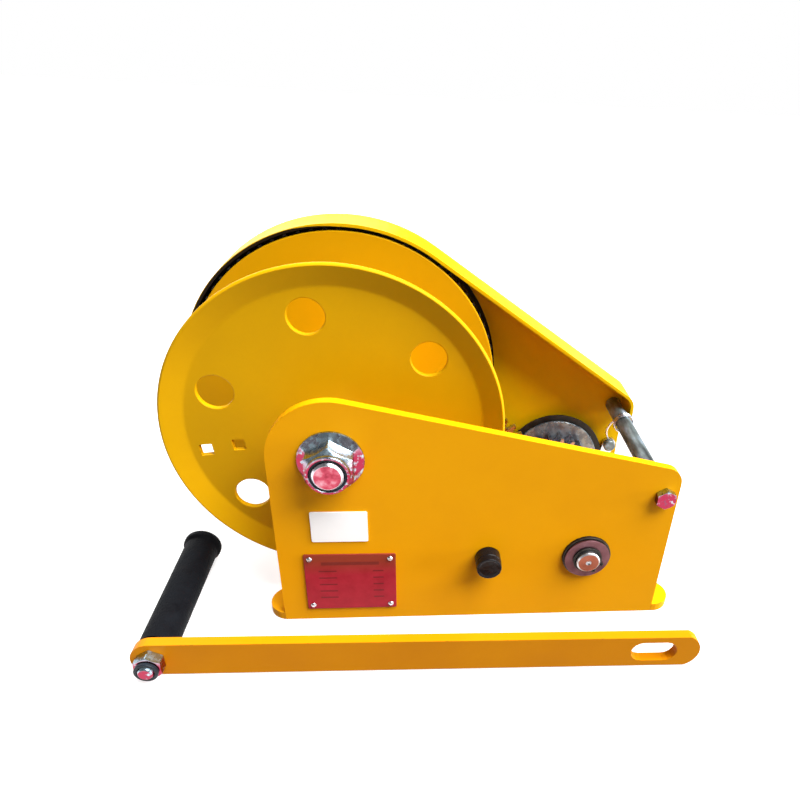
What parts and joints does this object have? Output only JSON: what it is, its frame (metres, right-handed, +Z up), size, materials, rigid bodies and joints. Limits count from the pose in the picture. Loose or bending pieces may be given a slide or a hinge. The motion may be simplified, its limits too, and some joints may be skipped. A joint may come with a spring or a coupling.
{
  "type": "wire rope puller",
  "caption": "Hand-cranked geared winch frame with a flanged rope drum, ratchet brake, tie rod and a detached crank, for pulling or lifting on wire rope.",
  "frame": {"origin": "middle of the underside of the base plate, where it sits on its mounting surface", "axes": "+Z up, +X along the side plates from the drum end to the drive shaft end, +Y from the front side plate to the rear side plate, where the gears are"},
  "size_m": [0.384, 0.2442, 0.26],
  "materials": {
    "yellow_paint": "glossy enamel over steel plate",
    "zinc_plate": "bright zinc plating",
    "bare_steel": "drawn, lightly oiled",
    "black_steel": "black oxide",
    "bronze": "sintered bronze",
    "black_rubber": "pebbled moulded rubber",
    "black_nylon": "moulded nylon",
    "crimson_plate": "printed metal sheet, blank",
    "white_label": "plain vinyl"
  },
  "bodies": {
    "frame": {"front_side_plate": "yellow_paint", "rear_side_plate": "yellow_paint", "base_plate": "yellow_paint", "tie_tube": "bare_steel", "tie_bolt": "zinc_plate", "tie_bolt_nut": "zinc_plate", "nameplate": "crimson_plate", "nameplate_rivet_1": "zinc_plate", "nameplate_rivet_2": "zinc_plate", "nameplate_rivet_3": "zinc_plate", "nameplate_rivet_4": "zinc_plate", "blank_label": "white_label", "drum_bolt": "zinc_plate", "drum_bolt_washer": "zinc_plate", "drum_flange_nut": "zinc_plate", "nut_locking_ring": "black_nylon", "front_spacer": "bare_steel", "rear_spacer": "bare_steel", "counter_bushing_front": "bronze", "counter_bushing_rear": "bronze", "countershaft_cap": "black_rubber", "front_bearing": "black_steel", "rear_bearing": "black_steel", "bearing_cover": "yellow_paint", "cover_screw_1": "zinc_plate", "cover_screw_2": "zinc_plate", "cover_screw_3": "zinc_plate", "pawl_pin": "zinc_plate", "pawl_spring": "zinc_plate"},
    "drum": {"front_flange": "yellow_paint", "rear_flange": "yellow_paint", "drum_barrel": "yellow_paint", "hub_tube": "bare_steel", "drum_bushing_front": "bronze", "drum_bushing_rear": "bronze", "drum_gear": "black_steel"},
    "counter": {"countershaft": "bare_steel", "counter_pinion": "bare_steel", "counter_gear": "zinc_plate", "counter_collar": "zinc_plate", "counter_clip": "black_steel"},
    "drive": {"drive_shaft": "bare_steel", "drive_pinion": "zinc_plate", "pressure_disc": "zinc_plate", "friction_disc": "black_steel", "ratchet_wheel": "black_steel", "shaft_washer": "zinc_plate", "shaft_clip": "black_steel", "crank_hub": "zinc_plate", "hub_washer": "zinc_plate", "hub_nut": "zinc_plate"},
    "pawl": {"pawl": "zinc_plate"},
    "crank": {"crank_arm": "yellow_paint", "grip_bolt": "zinc_plate", "grip_lock_nut": "zinc_plate", "grip_nut_ring": "black_nylon", "grip_washer": "zinc_plate"},
    "grip": {"grip": "black_rubber"}
  },
  "joints": [
    {"name": "drum_spin", "type": "hinge", "parent": "frame", "child": "drum", "pos_m": [-0.0973, 0.00495, 0.139], "axis": [0, 1, 0], "continuous": true},
    {"name": "counter_spin", "type": "hinge", "parent": "frame", "child": "counter", "pos_m": [0.0079, 0.00495, 0.0568], "axis": [0, 1, 0], "continuous": true},
    {"name": "drive_spin", "type": "hinge", "parent": "frame", "child": "drive", "pos_m": [0.0799, 0.00495, 0.0568], "axis": [0, 1, 0], "continuous": true},
    {"name": "pawl_pivot", "type": "hinge", "parent": "frame", "child": "pawl", "pos_m": [0.1299, 0.06395, 0.0695], "axis": [0, 1, 0], "range_deg": [-22, 0], "stiffness_Nm_per_rad": 0.2},
    {"name": "crank_slide", "type": "slide", "parent": "frame", "child": "crank", "axis": [0, -1, 0], "range_m": [0, 0.12]},
    {"name": "grip_spin", "type": "hinge", "parent": "crank", "child": "grip", "pos_m": [-0.2153, -0.11365, 0.0143], "axis": [0.0169, 0.9999, 0], "continuous": true}
  ],
  "couplings": [
    {"joint": "counter_spin", "follows": "drum_spin", "ratio": -5.8462},
    {"joint": "drive_spin", "follows": "drum_spin", "ratio": 10.661}
  ]
}
